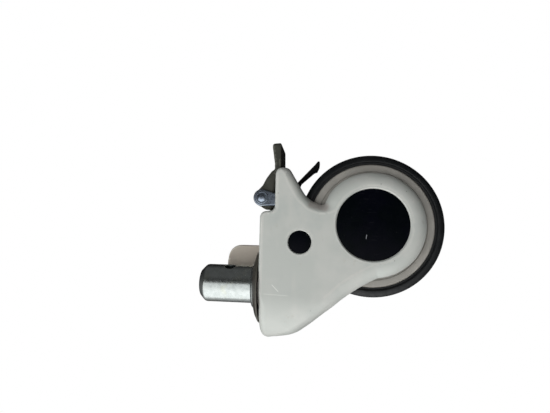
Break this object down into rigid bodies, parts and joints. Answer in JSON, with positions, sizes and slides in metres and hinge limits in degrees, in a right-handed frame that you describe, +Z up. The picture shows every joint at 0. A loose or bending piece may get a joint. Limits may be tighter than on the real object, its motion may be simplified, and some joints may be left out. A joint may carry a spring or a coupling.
{
  "type": "chair caster wheel",
  "caption": "Plain-stem swivel caster with a moulded fork, soft tyre and one pedal that locks wheel and swivel.",
  "frame": {"origin": "centre of the stem flange's top face, on the swivel axis, where the chair's socket rests", "axes": "+Z up the stem, +X towards the trailing side where the axle and pedal are, +Y along the axle"},
  "size_m": [0.143, 0.0577, 0.1756],
  "materials": {
    "stem_steel": "bright zinc plate",
    "zinc_steel": "blue zinc plate",
    "bearing_steel": "ground",
    "housing_plastic": "satin moulded",
    "rim_plastic": "matte moulded",
    "cap_plastic": "gloss moulded",
    "cover_plastic": "satin moulded",
    "tab_plastic": "matte",
    "pedal_plastic": "satin moulded",
    "cage_plastic": "natural nylon",
    "shoe_rubber": "matte",
    "tyre_rubber": "satin",
    "black_steel": "black oxide"
  },
  "bodies": {
    "stem": {"stem_post": "stem_steel", "locating_tab": "tab_plastic", "dust_cover": "cover_plastic", "swivel_bearing_inner_rings": "bearing_steel", "swivel_lock_ring": "zinc_steel", "swivel_washer": "zinc_steel", "swivel_nut": "zinc_steel"},
    "housing": {"housing": "housing_plastic", "swivel_bearing_outer_rings": "bearing_steel", "swivel_bearing_balls": "bearing_steel", "swivel_bearing_cages": "cage_plastic", "axle_caps": "cap_plastic", "screw_caps": "cap_plastic", "bracket_screws": "black_steel", "wheel_bearing_inner_rings": "bearing_steel", "axle_bolt": "zinc_steel", "axle_nut": "zinc_steel", "axle_washers": "zinc_steel", "axle_sleeve": "zinc_steel", "pedal_bracket": "zinc_steel", "pedal_rivet": "zinc_steel", "lever_pin": "zinc_steel", "pedal_return_springs": "black_steel"},
    "wheel": {"tyre": "tyre_rubber", "rim": "rim_plastic", "wheel_bearing_outer_rings": "bearing_steel", "wheel_bearing_balls": "bearing_steel", "wheel_bearing_cages": "cage_plastic"},
    "pedal": {"pedal": "pedal_plastic", "pedal_cam": "black_steel"},
    "brake_lever": {"brake_lever": "black_steel", "swivel_lock_tooth": "zinc_steel", "brake_shoe": "shoe_rubber"}
  },
  "joints": [
    {"name": "swivel", "type": "hinge", "parent": "stem", "child": "housing", "pos_m": [0, 0, -0.0165], "axis": [0, 0, 1], "continuous": true},
    {"name": "wheel_spin", "type": "hinge", "parent": "housing", "child": "wheel", "pos_m": [0.0456, 0, -0.0851], "axis": [0, 1, 0], "continuous": true},
    {"name": "pedal_press", "type": "hinge", "parent": "housing", "child": "pedal", "pos_m": [0.064, 0, -0.007], "axis": [0, 1, 0], "range_deg": [0, 23]},
    {"name": "brake_tilt", "type": "hinge", "parent": "housing", "child": "brake_lever", "pos_m": [0.044, 0, -0.026], "axis": [0, 1, 0], "range_deg": [0, 6.61]}
  ],
  "couplings": [
    {"joint": "brake_tilt", "follows": "pedal_press", "ratio": 0.287}
  ]
}
